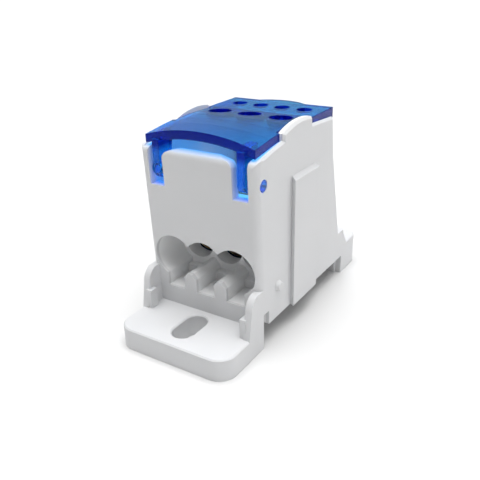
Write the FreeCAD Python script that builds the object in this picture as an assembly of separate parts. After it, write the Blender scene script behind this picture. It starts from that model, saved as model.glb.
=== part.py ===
import FreeCAD, Part
import math
import os
from FreeCAD import Vector

# Single-pole distribution terminal block: a moulded housing with two slotted feet and a rail channel,
# a clear hinged cover, a brass terminal block inside, and one clamp screw for each wire.
# Lengths are in millimetres. X runs across the block, Y from the front foot to the rear foot, Z up.
# The model is drawn with Y counted from the front edge of the front foot, and is shifted at the end
# so that the origin lies midway between the two mounting slots, on the surface that the feet stand on.
# A name that ends in _run is a distance along Y from the rear end of the front foot.

# Wire bores of the terminal block, and the brass left between and beside them
bore_z = 17.0
front_bore_radius = 3.5
front_bore_depth = 10.8
front_web = 0.7
rear_bore_radius = 2.2
rear_bore_depth = 6.4
rear_web = 1.2
middle_web = 1.7
side_web = 0.5

# Terminal block
block_height = 14.6
block_floor_z = 10.8
block_clearance = 0.2
block_chamfer = 0.6

# Clamp screws
thread_clearance = 0.05
front_screw_radius = 3.0
front_screw_length = 9.5
front_screw_inset = 6.5
front_screw_travel = 5.8
rear_screw_radius = 2.0
rear_screw_length = 8.6
rear_screw_inset = 2.9
rear_screw_travel = 3.6
screw_lift = 0.25
screw_slot_width = 1.0
screw_slot_depth = 1.6
screw_chamfer = 0.5

# Walls of the housing
side_wall = 2.1
front_wall = 2.2
rear_wall = 2.0
partition_rise = 3.5
edge_break = 0.5
corner_round = 1.5

# Feet and the mounting slots in them
front_foot_length = 14.7
front_foot_thickness = 5.0
rear_foot_length = 11.34
rear_foot_thickness = 7.9
foot_corner = 4.0
foot_edge_break = 0.3
slot_length = 9.4
slot_width = 5.0
front_slot_y = 7.6
rear_slot_from_end = 5.7

# Rail channel under the body, its fixed hook at the rear and the springy tongue at the front
channel_height = 5.0
hook_reach = 1.0
hook_slant = 0.4
hook_half_width = 12.5
rail_lip_room = 1.6
tongue_gap = 2.15
tongue_thickness = 1.5
tongue_half_width = 6.0
tongue_slot_top = 8.2
tongue_reach = 0.9
tongue_lift = 0.4
side_slot_depth = 3.0
core_top = 8.0
core_rib = 1.6

# Front wall, leaning slightly forward, with its arched tab and the two leg notches
front_wall_run = -0.73
front_wall_lean = 0.0417
notch_inner = 8.3
notch_bottom = 33.2
notch_room = 0.5
tab_top = 41.8
tab_shoulder_z = 40.8
tab_side_z = 39.4
tab_round = 1.6
tab_corner_bow = 0.35

# Top edge of the side walls, from the front corner over the raised bump to the rear
front_corner_z = 39.6
front_corner_run = 1.5
front_corner_bow = 0.49
wall_top_front = 41.35
wall_top_bow = 0.15
wall_top_step = 43.0
bump_start_run = 8.3
bump_end_run = 20.75
bump_foot_z = 44.3
bump_bow = 0.9
bump_end_z = 45.3
bump_inner = 12.5
wall_top_rear = 43.66
wall_top_end = 43.1

# Rear wall, leaning outwards in two planes, counted from the rear end of the terminal block's chamber
rear_top_reach = 0.4
rear_knee_reach = 1.6
rear_base_reach = 6.8
rear_skirt_reach = 7.5
rear_foot_reach = 9.16
rear_knee_z = 33.9
rear_base_z = 12.6
rear_wall_top = 38.5

# Wire entries
entry_depth = 8.05
partition_depth = 3.65
lobe_radius = 5.0
lobe_side_z = 14.5
entry_floor_z = 9.4
front_post = {"half": 1.6, "flat": 1.1, "side_z": 12.5, "top_z": 13.7}
sill_z = 11.4
sill_depth = 1.7
front_guide_radius = 3.9
rear_lobe_radius = 3.35
rear_lobe_side_z = 15.2
rear_entry_floor_z = 10.8
rear_post = {"half": 0.9, "flat": 0.6, "side_z": 13.4, "top_z": 14.2}
rear_guide_radius = 2.5

# Snap wedges that hold the terminal block down
catch_reach = 0.7
catch_play = 0.05
catch_height = 2.4
catch_length = 8.0

# Hinge of the cover
pivot_run = 0.27
pivot_z = 36.27
pin_radius = 1.25
pin_clearance = 0.05
pin_inset = 0.1
leg_boss_radius = 1.9
leg_thickness = 1.7
leg_gap = 0.9
leg_depth = 4.6
leg_heel = 2.0

# Cover
cover_half_width = 13.0
cover_gap = 0.25
cover_rest_gap = 0.3
cover_end_reach = 2.1
cover_thickness = 1.8
cover_profile_runs = [(-1.1, 43.4), (4.8, 44.25), (10.8, 45.0), (13.3, 45.4), (15.8, 45.6), (18.3, 45.5),
                      (21.3, 45.15), (23.3, 45.0)]
front_crown = 1.9
crown_fade = 1.5
rear_lip = 0.6
big_hole_radius = 2.6
small_hole_radius = 1.75
collar_wall = 0.6
collar_drop = 2.2
finger_half_width = 6.0
finger_reach = 1.9
finger_thickness = 1.6

# Keying between neighbouring blocks, on the two sides
pad_start_run = 11.3
pad_end_run = 22.8
pad_low_z = 5.0
pad_high_z = 35.0
pad_proud = 1.0
pad_slope = 2.0
pad_undercut = 0.5
pad_fit = 0.2
pip_run = 5.9
pip_z = 12.4
pip_radius = 1.3
pip_tip_radius = 0.8
pip_proud = 0.7

# Gussets that brace the feet
gusset_thickness = 1.6
gusset_top_z = 14.0
gusset_crest = 1.8
gusset_foot = 5.2
gusset_round_run = 2.2
gusset_round_drop = 3.2
gusset_bow = 0.6
rib_thickness = 1.4
rib_overlap = 0.5
rib_inset = 0.4
rib_length = 2.0
rib_height = 4.4
rear_gusset_top_z = 12.3
rear_gusset_run = 2.6
rear_gusset_foot_run = 5.2
rear_gusset_round = 0.8
rear_gusset_drop = 0.9
rear_gusset_bow = 0.37

# Sizes that follow from the ones above
front_pitch = 2 * front_bore_radius + front_web
rear_pitch = 2 * rear_bore_radius + rear_web
block_half = front_pitch + front_bore_radius + side_web
inner_half = block_half + block_clearance
half = inner_half + side_wall
body_width = 2 * half
front_wall_base_y = front_foot_length + front_wall_run
bump_start_y = front_foot_length + bump_start_run
bump_end_y = front_foot_length + bump_end_run
pad_start_y = front_foot_length + pad_start_run
pad_end_y = front_foot_length + pad_end_run
pip_y = front_foot_length + pip_run
pivot_y = front_foot_length + pivot_run
cover_profile = [(front_foot_length + run, z) for run, z in cover_profile_runs]
front_chamber_back_y = front_foot_length + entry_depth
chamber_start_y = front_chamber_back_y + partition_depth
block_length = front_bore_depth + middle_web + rear_bore_depth
block_start_y = chamber_start_y + block_clearance / 2
block_end_y = block_start_y + block_length
chamber_end_y = block_end_y + block_clearance / 2
rear_top_y = chamber_end_y + rear_top_reach
rear_knee_y = chamber_end_y + rear_knee_reach
rear_base_y = chamber_end_y + rear_base_reach
channel_end_y = chamber_end_y + rear_foot_reach
body_length = channel_end_y + rear_foot_length
rear_slot_y = body_length - rear_slot_from_end
origin_y = (front_slot_y + rear_slot_y) / 2
block_top_z = block_floor_z + block_height
front_screw_y = block_start_y + front_screw_inset
rear_screw_y = block_end_y - rear_screw_inset
front_screw_z = bore_z + front_bore_radius + screw_lift
rear_screw_z = bore_z + rear_bore_radius + screw_lift
front_bores = [(i - 1) * front_pitch for i in range(3)]
rear_bores = [(i - 1.5) * rear_pitch for i in range(4)]
cover_front_y, front_edge_z = cover_profile[0]
flat_start_y, flat_z = cover_profile[-1]
above = 1.2 * flat_z
cover_end_y = chamber_end_y + cover_end_reach
ledge_half = cover_half_width + cover_gap
bump_half = bump_inner - cover_gap
quarter_bow = 1 - math.sqrt(0.5)

# How far joined shapes run into each other, and how far a cut runs past the surface
overlap = 1.0


def yz(u, v):
    return Vector(0, u, v)


def xz(u, v):
    return Vector(u, 0, v)


def xy(u, v):
    return Vector(u, v, 0)


def bowed(here, there, bow, plane):
    """Arc from one point to another whose middle stands off the straight line, to the left of the way."""
    du, dv = there[0] - here[0], there[1] - here[1]
    span = math.hypot(du, dv)
    middle = ((here[0] + there[0]) / 2 - bow * dv / span, (here[1] + there[1]) / 2 + bow * du / span)
    return Part.Arc(plane(*here), plane(*middle), plane(*there)).toShape()


def outline(plane, start, steps):
    """A closed wire. A step is a point for a straight edge, or a point and a bow for an arc."""
    edges = []
    here = start
    for step in list(steps) + [start]:
        there = step[:2]
        if len(step) == 3 and abs(step[2]) > 1e-6:
            edges.append(bowed(here, there, step[2], plane))
        elif math.dist(here, there) > 1e-6:
            edges.append(Part.makeLine(plane(*here), plane(*there)))
        here = there
    return Part.Wire(edges)


def prism(plane, start, steps, low, high):
    """The outline drawn out between two distances from its plane."""
    along = {yz: Vector(1, 0, 0), xz: Vector(0, 1, 0), xy: Vector(0, 0, 1)}[plane]
    face = Part.Face(outline(plane, start, steps))
    face.translate(along * low)
    return face.extrude(along * (high - low))


def brick(low, high):
    size = [b - a for a, b in zip(low, high)]
    return Part.makeBox(size[0], size[1], size[2], Vector(*low))


def mirror_x(shape):
    return shape.mirror(Vector(0, 0, 0), Vector(1, 0, 0))


def both_sides(shape):
    return [shape, mirror_x(shape)]


def broken(shape, width, wanted):
    """The shape with the wanted edges chamfered."""
    return shape.makeChamfer(width, [edge for edge in shape.Edges if wanted(edge.BoundBox)])


def front_face_y(z):
    return front_wall_base_y - front_wall_lean * (z - front_foot_thickness)


def rear_face_y(z):
    share = (z - rear_base_z) / (rear_knee_z - rear_base_z)
    return rear_base_y + share * (rear_knee_y - rear_base_y)


def cover_edge_z(y):
    """Height of the cover's top along its two side edges."""
    for (y0, z0), (y1, z1) in zip(cover_profile, cover_profile[1:]):
        if y <= y1:
            return z0 + (z1 - z0) * (y - y0) / (y1 - y0)
    return flat_z


def slot_hole(centre_y, low, high):
    reach = (slot_length - slot_width) / 2
    r = slot_width / 2
    front, back = centre_y - reach, centre_y + reach
    return prism(xy, (-r, front), [(-r, back), (r, back, r), (r, front), (-r, front, r)], low, high)


def corner_cut():
    """What is taken off to round the upright edge between the front wall and the right side."""
    inset = corner_round * math.hypot(1, front_wall_lean)
    low_y, high_y = front_face_y(0), front_face_y(above)
    steps = [(low_y - overlap, 0), (high_y - overlap, above), (high_y + inset, above)]
    corner = prism(yz, (low_y + inset, 0), steps, half - corner_round, half + overlap)
    axis = Vector(0, high_y - low_y, above)
    return corner.cut(Part.makeCylinder(corner_round, axis.Length, Vector(half - corner_round, low_y + inset, 0), axis))


def body_envelope():
    """The side outline drawn across the full width, with its outer edges broken."""
    corner_y = front_face_y(front_corner_z)
    steps = [(corner_y, front_corner_z), (corner_y + front_corner_run, wall_top_front, front_corner_bow)]
    steps += [(bump_start_y, wall_top_step, wall_top_bow), (bump_start_y, bump_foot_z)]
    steps += [(bump_end_y, bump_end_z, bump_bow), (bump_end_y, wall_top_rear), (rear_top_y, wall_top_end)]
    steps += [(rear_knee_y, rear_knee_z), (rear_base_y, rear_base_z)]
    steps.append((chamber_end_y + rear_skirt_reach, channel_height))
    solid = prism(yz, (front_wall_base_y, channel_height), steps, -half, half)

    def outer(box):
        on_side = box.XLength < 1e-6
        return on_side and box.ZMax > channel_height + 0.1 and box.YMax > corner_y + front_corner_run + 0.1

    return broken(solid, edge_break, outer).cut(both_sides(corner_cut()))


def front_foot():
    w, r = half, foot_corner
    steps = [(w, front_foot_length), (w, r), (w - r, 0, quarter_bow * r), (-w + r, 0), (-w, r, quarter_bow * r)]
    plate = prism(xy, (-w, front_foot_length), steps, 0, front_foot_thickness)
    plate = plate.cut(slot_hole(front_slot_y, -overlap, front_foot_thickness + overlap))
    plate = broken(plate, foot_edge_break,
                   lambda box: box.ZMin > front_foot_thickness - 0.1 and box.YMin < front_foot_length - 0.1)
    root = brick((-inner_half, front_wall_base_y, front_foot_thickness - overlap),
                 (inner_half, front_foot_length, front_foot_thickness + overlap))
    return plate.fuse(root)


def rear_foot():
    w, r, end = half, foot_corner, body_length
    steps = [(-w, end - r), (-w + r, end, quarter_bow * r), (w - r, end), (w, end - r, quarter_bow * r)]
    steps.append((w, channel_end_y))
    plate = prism(xy, (-w, channel_end_y), steps, 0, rear_foot_thickness)
    plate = plate.cut(slot_hole(rear_slot_y, -overlap, rear_foot_thickness + overlap))
    plate = broken(plate, foot_edge_break,
                   lambda box: box.ZMin > rear_foot_thickness - 0.1 and box.YMax > channel_end_y + 0.1)
    root = brick((-half, rear_base_y - overlap, channel_height), (half, channel_end_y + overlap, rear_foot_thickness))
    hook_top = channel_height - rail_lip_room
    tip_y = channel_end_y - hook_reach
    steps = [(tip_y, hook_top), (channel_end_y + overlap, hook_top), (channel_end_y + overlap, 0)]
    lug = prism(yz, (tip_y + hook_slant, 0), steps, -hook_half_width, hook_half_width)
    return plate.fuse([root, lug])


def front_gusset():
    """Curved fin at the right side of the front foot, flush with the side, with a short rib beside it."""
    wall_y = front_face_y(gusset_top_z) + corner_round + overlap
    crest_y = front_wall_base_y - gusset_crest
    foot_y = front_wall_base_y - gusset_foot
    low_z = front_foot_thickness - overlap
    steps = [(foot_y, low_z), (crest_y - gusset_round_run, gusset_top_z - gusset_round_drop)]
    steps += [(crest_y, gusset_top_z, gusset_bow), (wall_y, gusset_top_z)]
    fin = prism(yz, (wall_y, low_z), steps, half - gusset_thickness, half)
    rib_x = half - gusset_thickness - rib_thickness + rib_overlap
    rib = brick((rib_x, foot_y + rib_inset, low_z),
                (rib_x + rib_thickness, foot_y + rib_inset + rib_length, front_foot_thickness + rib_height))
    return fin.fuse(rib)


def rear_gusset():
    wall_y = rear_face_y(rear_gusset_top_z) - overlap
    crest_y = rear_base_y + rear_gusset_run
    foot_y = rear_base_y + rear_gusset_foot_run
    low_z = rear_foot_thickness - overlap
    steps = [(crest_y - rear_gusset_round, rear_gusset_top_z)]
    steps.append((crest_y + rear_gusset_drop / 2, rear_gusset_top_z - rear_gusset_drop, rear_gusset_bow))
    steps += [(foot_y, rear_foot_thickness), (foot_y, low_z), (wall_y, low_z)]
    return prism(yz, (wall_y, rear_gusset_top_z), steps, half - gusset_thickness, half)


def entry_chamber(centres, pitch, radius, side_z, floor_z, post, low_y, high_y):
    """Scalloped wire entry: a row of round lobes over upright slots, with a pointed post between two slots."""
    lobes = [Part.makeCylinder(radius, high_y - low_y, Vector(x, low_y, bore_z), Vector(0, 1, 0)) for x in centres]
    outer_x = centres[-1] + pitch / 2 - post["half"]
    side_x = centres[-1] + math.sqrt(radius ** 2 - (bore_z - side_z) ** 2)
    shoulder_z = side_z - (side_x - outer_x)
    steps = [(-outer_x, shoulder_z), (-side_x, side_z), (side_x, side_z), (outer_x, shoulder_z), (outer_x, floor_z)]
    slots = prism(xz, (-outer_x, floor_z), steps, low_y, high_y)
    posts = []
    for x in centres[:-1]:
        middle = x + pitch / 2
        side, tip = post["half"], post["flat"] / 2
        low_z = floor_z - overlap
        steps = [(middle - side, post["side_z"]), (middle - tip, post["top_z"]), (middle + tip, post["top_z"])]
        steps += [(middle + side, post["side_z"]), (middle + side, low_z)]
        posts.append(prism(xz, (middle - side, low_z), steps, low_y - overlap, high_y + overlap))
    return slots.fuse(lobes).cut(posts)


def front_entry():
    """Front wire entry with a raised sill, and a round hole to each bore of the terminal block."""
    chamber = entry_chamber(front_bores, front_pitch, lobe_radius, lobe_side_z, entry_floor_z, front_post,
                            0, front_chamber_back_y)
    sill = brick((-half, front_chamber_back_y - sill_depth, entry_floor_z - overlap),
                 (half, front_chamber_back_y + overlap, sill_z))
    holes = [Part.makeCylinder(front_guide_radius, partition_depth, Vector(x, front_chamber_back_y, bore_z),
                               Vector(0, 1, 0)) for x in front_bores]
    return [chamber.cut(sill)] + holes


def rear_entry():
    """Rear wire entry, and a round hole to each bore of the terminal block."""
    chamber = entry_chamber(rear_bores, rear_pitch, rear_lobe_radius, rear_lobe_side_z, rear_entry_floor_z,
                            rear_post, chamber_end_y + rear_wall, channel_end_y + overlap)
    holes = [Part.makeCylinder(rear_guide_radius, rear_wall, Vector(x, chamber_end_y, bore_z),
                               Vector(0, 1, 0)) for x in rear_bores]
    return [chamber] + holes


def inner_well():
    """The space above and around the terminal block, open to the top."""
    front_low = front_face_y(block_top_z) + front_wall
    front_high = front_face_y(above) + front_wall
    partition_y = chamber_start_y - rear_wall
    partition_top = block_top_z + partition_rise
    steps = [(front_high, above), (chamber_end_y, above), (chamber_end_y, block_floor_z)]
    steps += [(chamber_start_y, block_floor_z), (chamber_start_y, partition_top), (partition_y, partition_top)]
    steps.append((partition_y, block_top_z))
    return prism(yz, (front_low, block_top_z), steps, -inner_half, inner_half)


def block_catch():
    """Snap wedge on the right wall that holds the terminal block down."""
    low = block_top_z + catch_play
    root_x = inner_half + block_clearance
    wedge = prism(xz, (root_x, low), [(block_half - catch_reach, low), (root_x, low + catch_height)], 0, catch_length)
    wedge.translate(Vector(0, (block_start_y + block_end_y - catch_length) / 2, 0))
    return wedge


def cover_seat():
    """Room for the cover on the side walls, with a round relief so that its front lip can swing down."""
    drop = cover_thickness + cover_rest_gap
    swing = front_edge_z - drop - pivot_z
    seat_y = flat_start_y - cover_gap
    seat_z = flat_z - drop - rear_lip
    steps = [(0, pivot_z), (pivot_y - swing, pivot_z), (pivot_y, pivot_z + swing, quarter_bow * swing)]
    steps.append((bump_start_y, cover_edge_z(bump_start_y) - drop))
    steps += [(y, z - drop) for y, z in cover_profile if bump_start_y < y < seat_y]
    steps += [(seat_y, cover_edge_z(seat_y) - drop), (seat_y, seat_z), (body_length, seat_z), (body_length, above)]
    wide = prism(yz, (0, above), steps, -ledge_half, ledge_half)
    bump = brick((-half, bump_start_y, 0), (half, bump_end_y, above + overlap))
    narrow = brick((-bump_inner, 0, 0), (bump_inner, body_length, above + overlap))
    return wide.cut(bump.cut(narrow))


def leg_window():
    """Opening at the top of the front wall, with an arched tab left standing between the two leg notches."""
    back_y = front_face_y(notch_bottom) + front_wall + notch_room
    window = brick((-inner_half, 0, notch_bottom), (inner_half, back_y, above))
    low_z = notch_bottom - overlap
    steps = [(-notch_inner, tab_side_z), (-notch_inner + tab_round, tab_shoulder_z, tab_corner_bow)]
    steps += [(notch_inner - tab_round, tab_shoulder_z, tab_top - tab_shoulder_z)]
    steps += [(notch_inner, tab_side_z, tab_corner_bow), (notch_inner, low_z)]
    return window.cut(prism(xz, (-notch_inner, low_z), steps, 0, body_length))


def key_bar(grow):
    """Dovetail pad that stands on the right side, with an undercut front edge and a sloping top."""
    face = half + pad_proud + grow
    low_y, high_y = pad_start_y - grow, pad_end_y + grow
    top = pad_high_z + grow
    steps = [(face, low_y), (face, high_y), (half, high_y - pad_undercut)]
    bar = prism(xy, (half, low_y + pad_undercut), steps, pad_low_z, top)
    slope = prism(xz, (half, top), [(face, top - pad_slope), (face, top + 1), (half, top + 1)], 0, body_length)
    return bar.cut(slope)


def pip(grow):
    """Low stud that stands proud of the right side."""
    return Part.makeCone(pip_radius + grow, pip_tip_radius + grow, pip_proud + grow, Vector(half, pip_y, pip_z),
                         Vector(1, 0, 0))


def key_sockets():
    """Groove and dimple in the left side, for the pad and the pip of a neighbouring block."""
    sockets = [key_bar(pad_fit), pip(pad_fit)]
    for socket in sockets:
        socket.translate(Vector(-body_width, 0, 0))
    return sockets


def rail_clip():
    """Springy tongue behind the front foot, with a nose that goes under the rail's lip."""
    y0 = front_foot_length + tongue_gap
    y1 = y0 + tongue_thickness
    nose_top = channel_height - rail_lip_room
    root_z = tongue_slot_top + overlap
    steps = [(y0, root_z), (y1, root_z), (y1, nose_top), (y1 + tongue_reach, nose_top), (y1, tongue_lift)]
    return prism(yz, (y0, tongue_lift), steps, -tongue_half_width, tongue_half_width)


def tongue_slots():
    """The gap that frees the tongue from the front foot, and the two slots that end it at the sides."""
    y0, y1 = front_foot_length, front_foot_length + tongue_gap
    side = brick((half - side_slot_depth, y0, -overlap), (half + overlap, y1, tongue_slot_top))
    middle_half = tongue_half_width + overlap
    return both_sides(side) + [brick((-middle_half, y0, -overlap), (middle_half, y1, tongue_slot_top))]


def core_pockets():
    """Four pockets in the underside, with a cross of ribs between them."""
    y0 = front_foot_length + tongue_gap + tongue_thickness + core_rib
    y3 = channel_end_y - 2 * core_rib
    y1, y2 = (y0 + y3 - core_rib) / 2, (y0 + y3 + core_rib) / 2
    pockets = []
    for low_y, high_y in ((y0, y1), (y2, y3)):
        pockets += both_sides(brick((core_rib / 2, low_y, channel_height - overlap), (inner_half, high_y, core_top)))
    return pockets


def hinge_holes():
    hole = Part.makeCylinder(pin_radius + pin_clearance, side_wall + 2 * overlap,
                             Vector(inner_half - overlap, pivot_y, pivot_z), Vector(1, 0, 0))
    return both_sides(hole)


def housing():
    body = body_envelope()
    body = body.fuse([front_foot(), rear_foot()] + both_sides(front_gusset()) + both_sides(rear_gusset()))
    rear_open = brick((-inner_half, chamber_end_y - overlap, rear_wall_top), (inner_half, body_length, above))
    cuts = front_entry() + rear_entry() + tongue_slots() + core_pockets() + hinge_holes() + key_sockets()
    cuts += [inner_well(), cover_seat(), leg_window(), rear_open]
    body = body.cut(cuts)
    return body.fuse([key_bar(0), pip(0), rail_clip()] + both_sides(block_catch())).removeSplitter()


def screw(radius, length, x, y, z):
    """Slotted clamp screw that stands upright on its chamfered tip."""
    shank = broken(Part.makeCylinder(radius, length), screw_chamfer, lambda box: box.ZMax < 0.1)
    blade = brick((-radius - overlap, -screw_slot_width / 2, length - screw_slot_depth),
                  (radius + overlap, screw_slot_width / 2, length + overlap))
    piece = shank.cut(blade)
    piece.translate(Vector(x, y, z))
    return piece


def bored_row(centres, bore_radius, bore_depth, face_y, inward, screw_radius, screw_y):
    """Wire bores in one end of the terminal block, each with a screw hole that comes down to its middle."""
    cuts = []
    for x in centres:
        cuts.append(Part.makeCylinder(bore_radius, bore_depth, Vector(x, face_y, bore_z), Vector(0, inward, 0)))
        cuts.append(Part.makeCylinder(screw_radius + thread_clearance, block_height, Vector(x, screw_y, bore_z)))
    return cuts


def terminal_block():
    block = brick((-block_half, block_start_y, block_floor_z), (block_half, block_end_y, block_top_z))
    block = broken(block, block_chamfer, lambda box: box.ZLength > block_height / 2)
    cuts = bored_row(front_bores, front_bore_radius, front_bore_depth, block_start_y, 1,
                     front_screw_radius, front_screw_y)
    cuts += bored_row(rear_bores, rear_bore_radius, rear_bore_depth, block_end_y, -1,
                      rear_screw_radius, rear_screw_y)
    return block.cut(cuts)


def cover_section(y, top):
    """Arched band across the cover at one distance from the front. The arch fades out towards the rear."""
    low = top - cover_thickness
    w = cover_half_width
    crown = front_crown * ((flat_start_y - y) / (flat_start_y - cover_front_y)) ** crown_fade
    wire = outline(xz, (-w, low), [(-w, top), (w, top, crown), (w, low), (-w, low, -crown)])
    wire.translate(Vector(0, y, 0))
    return wire


def cover_plate():
    front = Part.makeLoft([cover_section(y, z) for y, z in cover_profile], True, True)
    tail = brick((-cover_half_width, flat_start_y, flat_z - cover_thickness - rear_lip),
                 (cover_half_width, cover_end_y, flat_z))
    w = finger_half_width
    steps = [(-w, cover_end_y), (w, cover_end_y, finger_reach), (w, cover_end_y - overlap)]
    finger = prism(xy, (-w, cover_end_y - overlap), steps, flat_z - finger_thickness, flat_z)
    return front.fuse([tail, finger])


def cover_leg():
    """Right-hand leg with its boss and hinge pin."""
    x1 = inner_half - leg_gap
    x0 = x1 - leg_thickness
    r = leg_boss_radius
    front_y, heel_y = pivot_y - r, pivot_y + r
    top = cover_edge_z(pivot_y) - cover_thickness / 2
    steps = [(front_y, top), (front_y + leg_depth, top), (heel_y, pivot_z + leg_heel), (heel_y, pivot_z)]
    steps.append((front_y, pivot_z, r))
    plate = prism(yz, (front_y, pivot_z), steps, x0, x1)
    root_x = (x0 + x1) / 2
    pin = Part.makeCylinder(pin_radius, half - pin_inset - root_x, Vector(root_x, pivot_y, pivot_z), Vector(1, 0, 0))
    return plate.fuse(pin)


def bump_room():
    """Notch in the right edge of the cover, for the bump of the side wall, shaped so that the cover can swing."""
    reach = math.hypot(bump_end_y - pivot_y, bump_end_z - pivot_z) + cover_gap
    notch = brick((bump_half, bump_start_y - cover_gap, 0), (half, flat_start_y, above))
    return notch.common(Part.makeCylinder(reach, half, Vector(0, pivot_y, pivot_z), Vector(1, 0, 0)))


def cover():
    body = cover_plate().fuse(both_sides(cover_leg()))
    holes = []
    collars = []
    for x in front_bores:
        axis = Vector(x, front_screw_y, cover_edge_z(front_screw_y) - cover_thickness - collar_drop)
        collars.append(Part.makeCylinder(big_hole_radius + collar_wall, collar_drop + cover_thickness / 2, axis))
        holes.append(Part.makeCylinder(big_hole_radius, above, axis - Vector(0, 0, overlap)))
    for x in rear_bores:
        holes.append(Part.makeCylinder(small_hole_radius, above, Vector(x, rear_screw_y, pivot_z)))
    return body.fuse(collars).cut(holes + both_sides(bump_room())).removeSplitter()


os.makedirs("parts", exist_ok=True)
nodes = {"housing": housing(), "terminal_block": terminal_block(), "cover": cover()}
for i, x in enumerate(front_bores):
    nodes["front_clamp_screw_%d" % (i + 1)] = screw(front_screw_radius, front_screw_length,
                                                    x, front_screw_y, front_screw_z)
for i, x in enumerate(rear_bores):
    nodes["rear_clamp_screw_%d" % (i + 1)] = screw(rear_screw_radius, rear_screw_length,
                                                   x, rear_screw_y, rear_screw_z)
for name, shape in nodes.items():
    shape.translate(Vector(0, -origin_y, 0))
    shape.exportStep("parts/%s.step" % name)
    box = shape.BoundBox
    print(name, len(shape.Solids), shape.isValid(), round(shape.Volume, 1),
          [round(v, 2) for v in (box.XMin, box.YMin, box.ZMin, box.XMax, box.YMax, box.ZMax)])
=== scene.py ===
import math

import bmesh
import bpy
from mathutils import Matrix, Vector


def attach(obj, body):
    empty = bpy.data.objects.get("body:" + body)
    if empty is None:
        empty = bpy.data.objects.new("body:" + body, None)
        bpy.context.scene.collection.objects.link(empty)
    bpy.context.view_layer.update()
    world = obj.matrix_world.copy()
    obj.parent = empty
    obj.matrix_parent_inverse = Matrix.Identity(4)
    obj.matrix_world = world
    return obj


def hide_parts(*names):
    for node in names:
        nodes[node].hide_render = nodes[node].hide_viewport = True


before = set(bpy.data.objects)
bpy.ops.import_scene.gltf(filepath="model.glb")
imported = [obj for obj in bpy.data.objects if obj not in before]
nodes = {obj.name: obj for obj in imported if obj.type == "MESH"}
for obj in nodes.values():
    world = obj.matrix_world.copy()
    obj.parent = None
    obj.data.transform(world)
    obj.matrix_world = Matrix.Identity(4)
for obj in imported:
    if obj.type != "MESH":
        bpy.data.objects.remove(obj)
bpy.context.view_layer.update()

# Lengths are in metres. X runs across the block, Y from the front foot to the rear foot, Z up.
# A pair called a band is where a change starts and where it is complete.

# Camera, solved from the straight edges of the block in the photograph
CAMERA_PLACE = (0.0665, -0.10875, 0.0727)
CAMERA_YAW = math.radians(-32.91)
CAMERA_PITCH = math.radians(24.50)
CAMERA_ROLL = math.radians(-1.40)
SENSOR = 36.0
FOCAL_LENGTH = SENSOR * 586.0 / 480.0
NEAREST, FARTHEST = 0.005, 10.0

# Studio: strengths of the ceiling and of the horizon, and of what the camera sees past the floor
ZENITH = 6.2
ZENITH_BAND = (0.80, 0.97)
HORIZON = 0.03
HORIZON_TO_THE_SIDES = 0.38
HORIZON_TO_THE_RIGHT = 0.20
HORIZON_TO_THE_REAR = 0.15
BACKDROP = 0.93
WHITE_LIGHT = (1.0, 1.0, 1.0)

# Floor
FLOOR_SIZE = 12.0
FLOOR_TONES = ((0.71, 0.71, 0.71), (0.73, 0.73, 0.73))
FLOOR_CLOUDS = 8.0
FLOOR_ROUGHNESS = 0.9

# White plastic: its clouds and grain, painted light on the inner faces, and rare dark specks
WHITE_TONES = ((0.675, 0.68, 0.69), (0.70, 0.705, 0.715))
WHITE_PAINTED_LIGHT_INSIDE = (0.90, 0.905, 0.91)
WHITE_CLOUDS = 60.0
WHITE_GRAIN = 2600.0
WHITE_ROUGHNESS = (0.36, 0.48)
WHITE_IOR = 1.5
WHITE_EDGE = 0.00014
GRAIN_STRENGTH, GRAIN_HEIGHT = 0.12, 0.00002
GLOW_SHARE = 0.12
GLOW_DEPTH = (0.0012, 0.0011, 0.0010)
SPECK_TONE = (0.33, 0.33, 0.33)
SPECK_SCALE = 260.0
SPECK_BAND = (0.045, 0.07)
SPECK_RARITY = (0.80, 0.86)
SPECK_STRENGTH = 0.55
INNER_HALF_BAND = (0.0131, 0.0133)
INNER_FRONT_BAND = (-0.0198, -0.0194)
INNER_REAR_BAND = (0.0100, 0.0120)

# Clear blue plastic: its tones, painted shade on the upright edges of the plate, and a plate that is more
# matt than the legs
BLUE_TONES = ((0.22, 0.86, 0.97), (0.26, 0.90, 1.0))
BLUE_EDGE_PAINTED_SHADE = (0.025, 0.05, 0.36)
BLUE_GLOSS_TINT = (0.12, 0.28, 1.0)
BLUE_SHADOW = (0.55, 0.85, 1.0)
BLUE_DEPTH_TINT = (0.0, 0.75, 0.99)
BLUE_DEPTH_DENSITY = 1000.0
BLUE_RIPPLES = 180.0
BLUE_IOR = 1.49
BLUE_CLEARNESS = 0.94
BLUE_EDGE = 0.0003
RIPPLE_STRENGTH, RIPPLE_HEIGHT = 0.05, 0.00005
UPRIGHT_BAND = (0.25, 0.6)
PLATE_BAND = (0.0400, 0.0415)
MATT_BAND = (0.0405, 0.0425)
MATT_ROUGHNESS = (0.05, 0.20)

# Metals: tones, size of the clouds, roughness, and painted shade on all but the top of the brass
BRASS_TONES = ((0.70, 0.50, 0.20), (0.86, 0.69, 0.36))
BRASS_CLOUDS = 240.0
BRASS_ROUGHNESS = (0.26, 0.42)
BRASS_EDGE, BRASS_BUMP = 0.0002, 0.00003
BRASS_PAINTED_SHADE_TONE = (0.020, 0.030, 0.055)
BRASS_PAINTED_SHADE_BAND = (0.1, 0.5)
STEEL_TONES = ((0.60, 0.60, 0.58), (0.80, 0.80, 0.77))
STEEL_CLOUDS = 700.0
STEEL_ROUGHNESS = (0.25, 0.4)
STEEL_EDGE, STEEL_BUMP = 0.0001, 0.00002
METAL_BUMP_STRENGTH = 0.1

# The middle of a cloud pattern, where most of its values lie, and the two ways of a change
CLOUD_BAND = (0.3, 0.7)
RISE, FALL = (0.0, 1.0), (1.0, 0.0)
BEVEL_SAMPLES = 6

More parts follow.
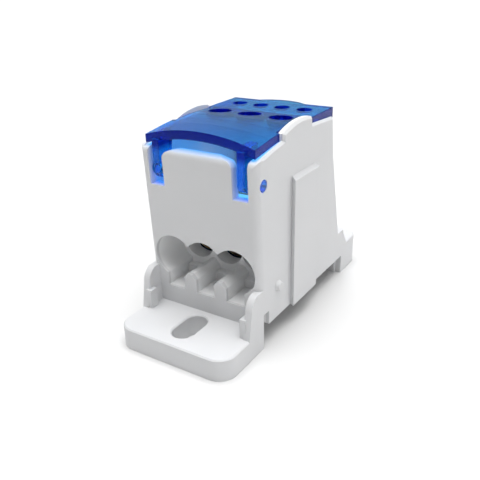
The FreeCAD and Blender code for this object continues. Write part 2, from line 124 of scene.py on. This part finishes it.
# How far the photographed cover's top lies below the CAD cover's, as (place along Y, drop)
COVER_DROPS = (
    (-0.02035, 0.0), (-0.01445, 0.00010), (-0.00845, 0.00035), (-0.00595, 0.00060), (-0.00345, 0.00080),
    (-0.00095, 0.00072), (0.00205, 0.00040), (0.00405, 0.00025), (0.00675, 0.00020), (0.01475, 0.00010),
)
COVER_PLATE_START = 0.0410
FACING_UP = 0.7
PLACE_DIGITS = 6

# Keying pad: its ends along Y at the wall and at its face, both along X, and three heights of its top
PAD_AT_WALL = (-0.00745, 0.00305)
PAD_AT_FACE = (-0.00795, 0.00355)
PAD_WALL, PAD_FACE = 0.01398, 0.015
PAD_TOP, PAD_SHOULDER, PAD_FLAT_END = 0.0350, 0.0342, 0.0330

# Pip: its centre along Y and Z, and its outline as (radius, place along X)
PIP_CENTRE = (-0.01335, 0.0124)
PIP_OUTLINE = (
    (0.00134, 0.0139), (0.00132, 0.0140), (0.00112, 0.0143), (0.00102, 0.0145), (0.00098, 0.01478),
    (0.00088, 0.01490), (0.00055, 0.01494),
)
PIP_SIDES = 40


def connect(tree, value, socket):
    """Links another socket to this one, or sets this one to a number, a vector or a colour."""
    if isinstance(value, bpy.types.NodeSocket):
        tree.links.new(value, socket)
    elif socket.type == "RGBA":
        socket.default_value = value + (1.0,)
    else:
        socket.default_value = value


def node_of(tree, kind, **sockets):
    """A shader node with some of its sockets linked or set by name."""
    node = tree.nodes.new(kind)
    for name, value in sockets.items():
        connect(tree, value, node.inputs[name.replace("_", " ")])
    return node


def blank_material(name):
    """A material with only its output, and an object coordinate to build patterns on."""
    material = bpy.data.materials.new(name)
    material.use_nodes = True
    tree = material.node_tree
    tree.nodes.clear()
    out = tree.nodes.new("ShaderNodeOutputMaterial")
    coordinate = tree.nodes.new("ShaderNodeTexCoord")
    return material, tree, out, coordinate.outputs["Object"]


def noise(tree, coordinate, scale, detail=2.0):
    return node_of(tree, "ShaderNodeTexNoise", Vector=coordinate, Scale=scale, Detail=detail).outputs["Fac"]


def parts_of(tree, vector):
    return node_of(tree, "ShaderNodeSeparateXYZ", Vector=vector).outputs


def spread(tree, value, band, result):
    """The value's place in the band, as a number between the two ends of the result."""
    (low, high), (first, last) = band, result
    sockets = {"Value": value, "From_Min": low, "From_Max": high, "To_Min": first, "To_Max": last}
    return node_of(tree, "ShaderNodeMapRange", **sockets).outputs["Result"]


def calculate(tree, operation, *values):
    node = tree.nodes.new("ShaderNodeMath")
    node.operation = operation
    for value, socket in zip(values, node.inputs):
        connect(tree, value, socket)
    return node.outputs[0]


def blend_colours(tree, factor, first, second):
    node = tree.nodes.new("ShaderNodeMix")
    node.data_type = "RGBA"
    for value, socket in zip((factor, first, second), (node.inputs[0], node.inputs[6], node.inputs[7])):
        connect(tree, value, socket)
    return node.outputs[2]


def blend_numbers(tree, factor, first, second):
    node = tree.nodes.new("ShaderNodeMix")
    for value, socket in zip((factor, first, second), (node.inputs[0], node.inputs[2], node.inputs[3])):
        connect(tree, value, socket)
    return node.outputs[0]


def soft_edges(tree, radius, height, strength, distance):
    """Rounds sharp edges in the shading, and adds a fine bump."""
    bevel = node_of(tree, "ShaderNodeBevel", Radius=radius)
    bevel.samples = BEVEL_SAMPLES
    rounded = bevel.outputs["Normal"]
    sockets = {"Strength": strength, "Distance": distance, "Height": height, "Normal": rounded}
    return node_of(tree, "ShaderNodeBump", **sockets).outputs["Normal"]


def upward_part(tree):
    """The upward part of the direction that the surface faces: 1 on a level top, 0 on an upright face."""
    direction = tree.nodes.new("ShaderNodeTexCoord")
    return parts_of(tree, direction.outputs["Normal"])["Z"]


def inner_painted_light(tree, where):
    """1 on the inner faces of the housing, which get painted light, and 0 on its outer faces."""
    parts = parts_of(tree, where)
    aside = calculate(tree, "ABSOLUTE", parts["X"])
    across = spread(tree, aside, INNER_HALF_BAND, FALL)
    front = spread(tree, parts["Y"], INNER_FRONT_BAND, RISE)
    rear = spread(tree, parts["Y"], INNER_REAR_BAND, FALL)
    return calculate(tree, "MULTIPLY", across, calculate(tree, "MULTIPLY", front, rear))


def moulded_white(name, edge_radius):
    material, tree, out, where = blank_material(name)
    clouds = noise(tree, where, WHITE_CLOUDS, 3.0)
    tone = blend_colours(tree, spread(tree, clouds, CLOUD_BAND, RISE), *WHITE_TONES)
    # Painted light: the inner faces of the housing get a lighter tone, which stands in for light reaching
    # its hollows
    tone = blend_colours(tree, inner_painted_light(tree, where), tone, WHITE_PAINTED_LIGHT_INSIDE)
    specks = node_of(tree, "ShaderNodeTexVoronoi", Vector=where, Scale=SPECK_SCALE)
    dots = spread(tree, specks.outputs["Distance"], SPECK_BAND, FALL)
    rare = spread(tree, specks.outputs["Color"], SPECK_RARITY, (0.0, SPECK_STRENGTH))
    tone = blend_colours(tree, calculate(tree, "MULTIPLY", dots, rare), tone, SPECK_TONE)
    grain = noise(tree, where, WHITE_GRAIN)
    shader = node_of(
        tree, "ShaderNodeBsdfPrincipled", Base_Color=tone, IOR=WHITE_IOR,
        Roughness=spread(tree, clouds, CLOUD_BAND, WHITE_ROUGHNESS),
        Subsurface_Weight=GLOW_SHARE, Subsurface_Radius=GLOW_DEPTH, Subsurface_Scale=1.0,
        Normal=soft_edges(tree, edge_radius, grain, GRAIN_STRENGTH, GRAIN_HEIGHT),
    )
    tree.links.new(shader.outputs[0], out.inputs["Surface"])
    return material


def clear_blue():
    """Tinted clear plastic: light passes through it to what lies below, and thick parts are darker. The
    upright edges of the plate carry painted shade.
    """
    material, tree, out, where = blank_material("cover_clear_blue")
    height = parts_of(tree, where)["Z"]
    ripples = noise(tree, where, BLUE_RIPPLES)
    upright = spread(tree, upward_part(tree), UPRIGHT_BAND, FALL)
    plate = spread(tree, height, PLATE_BAND, RISE)
    tone = blend_colours(tree, ripples, *BLUE_TONES)
    # Painted shade: the upright edge faces of the plate get a dark blue tone
    tone = blend_colours(tree, calculate(tree, "MULTIPLY", upright, plate), tone, BLUE_EDGE_PAINTED_SHADE)
    shader = node_of(
        tree, "ShaderNodeBsdfPrincipled", Base_Color=tone, IOR=BLUE_IOR,
        Roughness=spread(tree, height, MATT_BAND, MATT_ROUGHNESS),
        Transmission_Weight=BLUE_CLEARNESS, Specular_Tint=BLUE_GLOSS_TINT,
        Normal=soft_edges(tree, BLUE_EDGE, ripples, RIPPLE_STRENGTH, RIPPLE_HEIGHT),
    )
    through = node_of(tree, "ShaderNodeBsdfTransparent", Color=BLUE_SHADOW)
    path = tree.nodes.new("ShaderNodeLightPath")
    mix = tree.nodes.new("ShaderNodeMixShader")
    tree.links.new(path.outputs["Is Shadow Ray"], mix.inputs[0])
    tree.links.new(shader.outputs[0], mix.inputs[1])
    tree.links.new(through.outputs[0], mix.inputs[2])
    tree.links.new(mix.outputs[0], out.inputs["Surface"])
    tint = node_of(tree, "ShaderNodeVolumeAbsorption", Color=BLUE_DEPTH_TINT, Density=BLUE_DEPTH_DENSITY)
    tree.links.new(tint.outputs[0], out.inputs["Volume"])
    return material


def finish_metal(tree, out, tone, clouds, roughness, edge, bump):
    """A metal surface with the given tone, and roughness and fine bumps that follow its clouds."""
    shader = node_of(
        tree, "ShaderNodeBsdfPrincipled", Metallic=1.0, Base_Color=tone,
        Roughness=spread(tree, clouds, CLOUD_BAND, roughness),
        Normal=soft_edges(tree, edge, clouds, METAL_BUMP_STRENGTH, bump),
    )
    tree.links.new(shader.outputs[0], out.inputs["Surface"])


def machined_brass():
    material, tree, out, where = blank_material("terminal_brass")
    clouds = noise(tree, where, BRASS_CLOUDS, 4.0)
    # Painted shade: every brass face that doesn't face up gets a near-black tone, as the bores lie in shade
    painted_shade = spread(tree, upward_part(tree), BRASS_PAINTED_SHADE_BAND, FALL)
    tone = blend_colours(tree, painted_shade, blend_colours(tree, clouds, *BRASS_TONES), BRASS_PAINTED_SHADE_TONE)
    finish_metal(tree, out, tone, clouds, BRASS_ROUGHNESS, BRASS_EDGE, BRASS_BUMP)
    return material


def plated_steel():
    material, tree, out, where = blank_material("screw_plated_steel")
    clouds = noise(tree, where, STEEL_CLOUDS, 3.0)
    tone = blend_colours(tree, clouds, *STEEL_TONES)
    finish_metal(tree, out, tone, clouds, STEEL_ROUGHNESS, STEEL_EDGE, STEEL_BUMP)
    return material


def dress(node_name, material):
    mesh = nodes[node_name].data
    mesh.materials.clear()
    mesh.materials.append(material)


def add_object(name, mesh, material):
    mesh.materials.clear()
    mesh.materials.append(material)
    thing = bpy.data.objects.new(name, mesh)
    bpy.context.collection.objects.link(thing)
    return thing


def mesh_of(name, shape):
    """A mesh from a bmesh, which it frees."""
    mesh = bpy.data.meshes.new(name)
    shape.to_mesh(mesh)
    shape.free()
    return mesh


def drop_at(y):
    """How far the photographed cover's top lies below the CAD cover's at this place along Y."""
    if y <= COVER_DROPS[0][0]:
        return COVER_DROPS[0][1]
    for (start, first), (end, last) in zip(COVER_DROPS, COVER_DROPS[1:]):
        if y <= end:
            return first + (last - first) * (y - start) / (end - start)
    return COVER_DROPS[-1][1]


def place_of(vertex):
    """A vertex's place to the nearest micrometre, so that the ones that lie on each other count as one."""
    return tuple(round(part, PLACE_DIGITS) for part in vertex.co)


def photographed_cover(material):
    """The cover with the flatter top that the photograph shows. Its underside stays on its seat."""
    shape = bmesh.new()
    shape.from_mesh(nodes["cover"].data)
    top_faces = [face for face in shape.faces if face.normal.z > FACING_UP]
    top_places = {place_of(vertex) for face in top_faces for vertex in face.verts}
    for vertex in shape.verts:
        if vertex.co.z > COVER_PLATE_START and place_of(vertex) in top_places:
            vertex.co.z -= drop_at(vertex.co.y)
    piece = add_object("cover_moulding", mesh_of("cover_moulding", shape), material)
    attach(piece, "cover")
    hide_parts("cover")


def moulded_piece(name, corners, faces, material):
    """A piece of the white moulding, from its corners and faces."""
    shape = bmesh.new()
    points = [shape.verts.new(corner) for corner in corners]
    for face in faces:
        shape.faces.new([points[number] for number in face])
    bmesh.ops.recalc_face_normals(shape, faces=shape.faces)
    piece = add_object(name, mesh_of(name, shape), material)
    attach(piece, "base")


def pad_top(material):
    """Fills the long slope on top of the keying pad, and leaves the short one that the photograph shows."""
    corners = []
    for at_wall, at_face in zip(PAD_AT_WALL, PAD_AT_FACE):
        corners.append((PAD_WALL, at_wall, PAD_TOP))
        corners.append((PAD_FACE, at_face, PAD_SHOULDER))
        corners.append((PAD_FACE, at_face, PAD_FLAT_END))
    faces = [(0, 1, 2), (5, 4, 3), (0, 3, 4, 1), (1, 4, 5, 2), (2, 5, 3, 0)]
    moulded_piece("keying_pad_top", corners, faces, material)


def pip_cap(material):
    """The round pip on the right side wall, with the fuller shape that the photograph shows."""
    corners, faces = [], []
    for radius, along in PIP_OUTLINE:
        for side in range(PIP_SIDES):
            angle = math.tau * side / PIP_SIDES
            y = PIP_CENTRE[0] + radius * math.cos(angle)
            z = PIP_CENTRE[1] + radius * math.sin(angle)
            corners.append((along, y, z))
    last = (len(PIP_OUTLINE) - 1) * PIP_SIDES
    for here in range(0, last, PIP_SIDES):
        there = here + PIP_SIDES
        for side in range(PIP_SIDES):
            ahead = (side + 1) % PIP_SIDES
            faces.append((here + side, here + ahead, there + ahead, there + side))
    faces.append(tuple(range(last, last + PIP_SIDES)))
    faces.append(tuple(range(PIP_SIDES)))
    moulded_piece("keying_pip", corners, faces, material)


def floor():
    half = FLOOR_SIZE / 2
    mesh = bpy.data.meshes.new("floor")
    corners = [(-half, -half, 0), (half, -half, 0), (half, half, 0), (-half, half, 0)]
    mesh.from_pydata(corners, [], [(0, 1, 2, 3)])
    material, tree, out, where = blank_material("floor_pale")
    tone = blend_colours(tree, noise(tree, where, FLOOR_CLOUDS), *FLOOR_TONES)
    shader = node_of(tree, "ShaderNodeBsdfPrincipled", Base_Color=tone, Roughness=FLOOR_ROUGHNESS)
    tree.links.new(shader.outputs[0], out.inputs["Surface"])
    plane = add_object("floor", mesh, material)


def studio():
    """A bright ceiling over a horizon that is brighter at the sides, at the right and behind the block."""
    world = bpy.data.worlds.new("studio")
    bpy.context.scene.world = world
    world.use_nodes = True
    tree = world.node_tree
    direction = tree.nodes.new("ShaderNodeTexCoord")
    parts = parts_of(tree, direction.outputs["Generated"])
    aside = calculate(tree, "ABSOLUTE", parts["X"])
    around = calculate(tree, "MULTIPLY_ADD", aside, HORIZON_TO_THE_SIDES, HORIZON)
    around = calculate(tree, "MULTIPLY_ADD", parts["X"], HORIZON_TO_THE_RIGHT, around)
    around = calculate(tree, "MULTIPLY_ADD", parts["Y"], HORIZON_TO_THE_REAR, around)
    around.node.use_clamp = True
    overhead = spread(tree, parts["Z"], ZENITH_BAND, RISE)
    light = blend_numbers(tree, overhead, around, ZENITH)
    path = tree.nodes.new("ShaderNodeLightPath")
    background = tree.nodes["Background"]
    connect(tree, WHITE_LIGHT, background.inputs["Color"])
    strength = blend_numbers(tree, path.outputs["Is Camera Ray"], light, BACKDROP)
    connect(tree, strength, background.inputs["Strength"])


def camera():
    data = bpy.data.cameras.new("camera")
    data.sensor_width = SENSOR
    data.lens = FOCAL_LENGTH
    data.clip_start = NEAREST
    data.clip_end = FARTHEST
    holder = bpy.data.objects.new("camera", data)
    bpy.context.collection.objects.link(holder)
    yaw, pitch, roll = CAMERA_YAW, CAMERA_PITCH, CAMERA_ROLL
    level = Vector((math.sin(yaw), math.cos(yaw), 0))
    forward = math.cos(pitch) * level - math.sin(pitch) * Vector((0, 0, 1))
    right = Vector((math.cos(yaw), -math.sin(yaw), 0))
    up = right.cross(forward)
    across = math.cos(roll) * right + math.sin(roll) * up
    upright = -math.sin(roll) * right + math.cos(roll) * up
    turn = Matrix((across, upright, -forward)).transposed().to_4x4()
    holder.matrix_world = Matrix.Translation(CAMERA_PLACE) @ turn
    bpy.context.scene.camera = holder


def main():
    white = moulded_white("housing_white", WHITE_EDGE)
    dress("housing", white)
    # The pad's top fills a corner of the housing, so no edge of it is rounded where the two meet
    pad_top(moulded_white("housing_white_flat", 0.0))
    pip_cap(white)
    blue = clear_blue()
    dress("cover", blue)
    photographed_cover(blue)
    dress("terminal_block", machined_brass())
    steel = plated_steel()
    for name in sorted(nodes):
        if "clamp_screw" in name:
            dress(name, steel)
    floor()
    studio()
    camera()
    bpy.context.scene.view_settings.view_transform = "Standard"


main()
